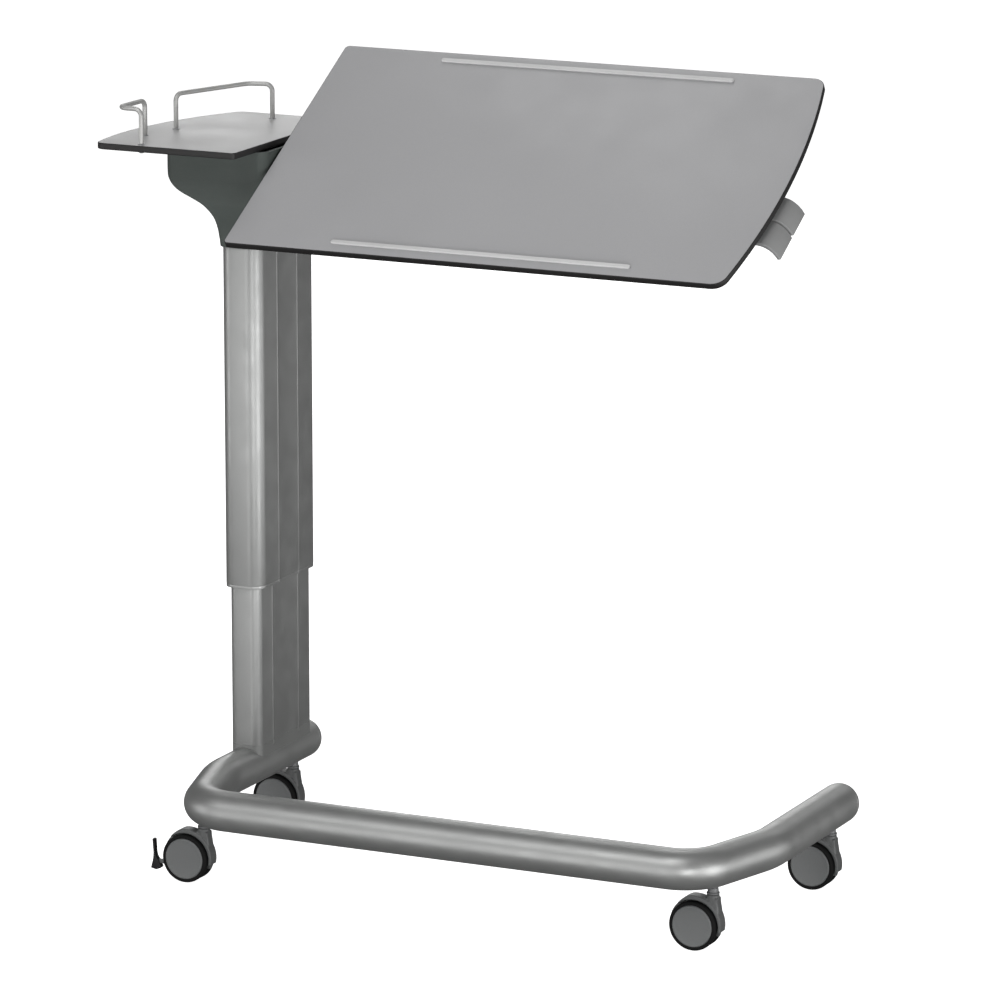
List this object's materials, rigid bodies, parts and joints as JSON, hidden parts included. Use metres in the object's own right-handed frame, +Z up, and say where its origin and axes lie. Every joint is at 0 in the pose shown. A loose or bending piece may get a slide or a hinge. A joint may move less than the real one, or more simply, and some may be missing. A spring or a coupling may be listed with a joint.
{
  "type": "overbed table",
  "caption": "Overbed table on a C-shaped tube base with twin-wheel casters, height-adjustable column, tilting main top with release levers, and a fixed side shelf with wire rails.",
  "frame": {"origin": "middle of the outline seen from above, on the floor", "axes": "+Z up; +X along the front bar, from the column towards the lever end of the main top; +Y towards the open ends of the base legs, so the main top slopes down towards -Y"},
  "size_m": [0.951, 0.479, 0.9793],
  "materials": {
    "silver_paint": "satin silver powder coat",
    "housing_grey": "fine matt texture",
    "laminate_grey": "matt laminate",
    "laminate_light": "matt laminate",
    "black_plastic": "matt",
    "tyre_black": "matt",
    "hub_grey": "satin",
    "lever_grey": "satin",
    "wire_chrome": "polished",
    "bare_steel": "satin",
    "strip_pale": "gloss",
    "glide_white": "matt"
  },
  "bodies": {
    "base": {"base_frame": "silver_paint", "end_cap_left": "silver_paint", "end_cap_right": "silver_paint", "column_foot": "silver_paint", "lower_column": "silver_paint", "lower_glide": "glide_white", "lift_cylinder": "bare_steel", "caster_front_left_stem": "bare_steel", "caster_front_right_stem": "bare_steel", "caster_rear_right_stem": "bare_steel", "caster_rear_left_stem": "bare_steel"},
    "carriage": {"lift_rod": "bare_steel", "upper_column": "silver_paint", "column_collar": "silver_paint", "head_housing": "housing_grey", "head_cover": "housing_grey", "lift_release": "black_plastic", "shaft_mount": "bare_steel", "tilt_shaft": "bare_steel", "side_shelf": "laminate_light", "rail_rear": "wire_chrome", "rail_front": "wire_chrome"},
    "top": {"main_top": "laminate_grey", "strip_rear": "strip_pale", "strip_front": "strip_pale", "top_channel": "bare_steel", "shaft_bearing_left": "black_plastic", "shaft_bearing_right": "black_plastic", "tilt_clamp": "bare_steel", "lever_housing": "black_plastic", "lever_pin": "bare_steel", "cable_height": "black_plastic", "cable_tilt": "black_plastic"},
    "height_lever": {"lever_height": "lever_grey"},
    "tilt_lever": {"lever_tilt": "lever_grey"},
    "front_left_swivel": {"caster_front_left_hood": "housing_grey", "caster_front_left_axle": "bare_steel"},
    "front_left_wheel_back": {"caster_front_left_tyre_back": "tyre_black", "caster_front_left_hub_back": "hub_grey"},
    "front_left_wheel_front": {"caster_front_left_tyre_front": "tyre_black", "caster_front_left_hub_front": "hub_grey"},
    "front_right_swivel": {"caster_front_right_hood": "housing_grey", "caster_front_right_axle": "bare_steel"},
    "front_right_wheel_back": {"caster_front_right_tyre_back": "tyre_black", "caster_front_right_hub_back": "hub_grey"},
    "front_right_wheel_front": {"caster_front_right_tyre_front": "tyre_black", "caster_front_right_hub_front": "hub_grey"},
    "rear_right_swivel": {"caster_rear_right_hood": "housing_grey", "caster_rear_right_axle": "bare_steel"},
    "rear_right_wheel_back": {"caster_rear_right_tyre_back": "tyre_black", "caster_rear_right_hub_back": "hub_grey"},
    "rear_right_wheel_front": {"caster_rear_right_tyre_front": "tyre_black", "caster_rear_right_hub_front": "hub_grey"},
    "rear_left_swivel": {"caster_rear_left_hood": "housing_grey", "caster_rear_left_axle": "bare_steel"},
    "rear_left_wheel_back": {"caster_rear_left_tyre_back": "tyre_black", "caster_rear_left_hub_back": "hub_grey"},
    "rear_left_wheel_front": {"caster_rear_left_tyre_front": "tyre_black", "caster_rear_left_hub_front": "hub_grey"},
    "brake_pedal": {"caster_front_left_brake_pedal": "black_plastic"}
  },
  "joints": [
    {"name": "height_slide", "type": "slide", "parent": "base", "child": "carriage", "axis": [0, 0, 1], "range_m": [-0.19, 0.15]},
    {"name": "top_tilt", "type": "hinge", "parent": "carriage", "child": "top", "pos_m": [-0.0445, 0.0695, 0.8627], "axis": [1, 0, 0], "range_deg": [-30, 15]},
    {"name": "height_lever_squeeze", "type": "hinge", "parent": "top", "child": "height_lever", "pos_m": [0.3555, 0.03905, 0.84743], "axis": [0, 0.866, 0.5], "range_deg": [-4.5, 0], "stiffness_Nm_per_rad": 0.5},
    {"name": "tilt_lever_squeeze", "type": "hinge", "parent": "top", "child": "tilt_lever", "pos_m": [0.3555, 0.00008, 0.82493], "axis": [0, 0.866, 0.5], "range_deg": [-4.5, 0], "stiffness_Nm_per_rad": 0.5},
    {"name": "front_left_swivel_turn", "type": "hinge", "parent": "base", "child": "front_left_swivel", "pos_m": [-0.25595, -0.18571, 0.06], "axis": [0, 0, 1], "continuous": true},
    {"name": "front_left_wheel_back_roll", "type": "hinge", "parent": "front_left_swivel", "child": "front_left_wheel_back", "pos_m": [-0.27795, -0.17782, 0.03], "axis": [0, 1, 0], "continuous": true},
    {"name": "front_left_wheel_front_roll", "type": "hinge", "parent": "front_left_swivel", "child": "front_left_wheel_front", "pos_m": [-0.27795, -0.19362, 0.03], "axis": [0, 1, 0], "continuous": true},
    {"name": "front_right_swivel_turn", "type": "hinge", "parent": "base", "child": "front_right_swivel", "pos_m": [0.42195, -0.18571, 0.06], "axis": [0, 0, 1], "continuous": true},
    {"name": "front_right_wheel_back_roll", "type": "hinge", "parent": "front_right_swivel", "child": "front_right_wheel_back", "pos_m": [0.39995, -0.17782, 0.03], "axis": [0, 1, 0], "continuous": true},
    {"name": "front_right_wheel_front_roll", "type": "hinge", "parent": "front_right_swivel", "child": "front_right_wheel_front", "pos_m": [0.39995, -0.19362, 0.03], "axis": [0, 1, 0], "continuous": true},
    {"name": "rear_right_swivel_turn", "type": "hinge", "parent": "base", "child": "rear_right_swivel", "pos_m": [0.4505, 0.1105, 0.06], "axis": [0, 0, 1], "continuous": true},
    {"name": "rear_right_wheel_back_roll", "type": "hinge", "parent": "rear_right_swivel", "child": "rear_right_wheel_back", "pos_m": [0.4285, 0.1184, 0.03], "axis": [0, 1, 0], "continuous": true},
    {"name": "rear_right_wheel_front_roll", "type": "hinge", "parent": "rear_right_swivel", "child": "rear_right_wheel_front", "pos_m": [0.4285, 0.1026, 0.03], "axis": [0, 1, 0], "continuous": true},
    {"name": "rear_left_swivel_turn", "type": "hinge", "parent": "base", "child": "rear_left_swivel", "pos_m": [-0.2845, 0.1105, 0.06], "axis": [0, 0, 1], "continuous": true},
    {"name": "rear_left_wheel_back_roll", "type": "hinge", "parent": "rear_left_swivel", "child": "rear_left_wheel_back", "pos_m": [-0.3065, 0.1184, 0.03], "axis": [0, 1, 0], "continuous": true},
    {"name": "rear_left_wheel_front_roll", "type": "hinge", "parent": "rear_left_swivel", "child": "rear_left_wheel_front", "pos_m": [-0.3065, 0.1026, 0.03], "axis": [0, 1, 0], "continuous": true},
    {"name": "brake_pedal_rock", "type": "hinge", "parent": "front_left_swivel", "child": "brake_pedal", "pos_m": [-0.32145, -0.18571, 0.02], "axis": [0, 1, 0], "range_deg": [-10, 8]}
  ]
}
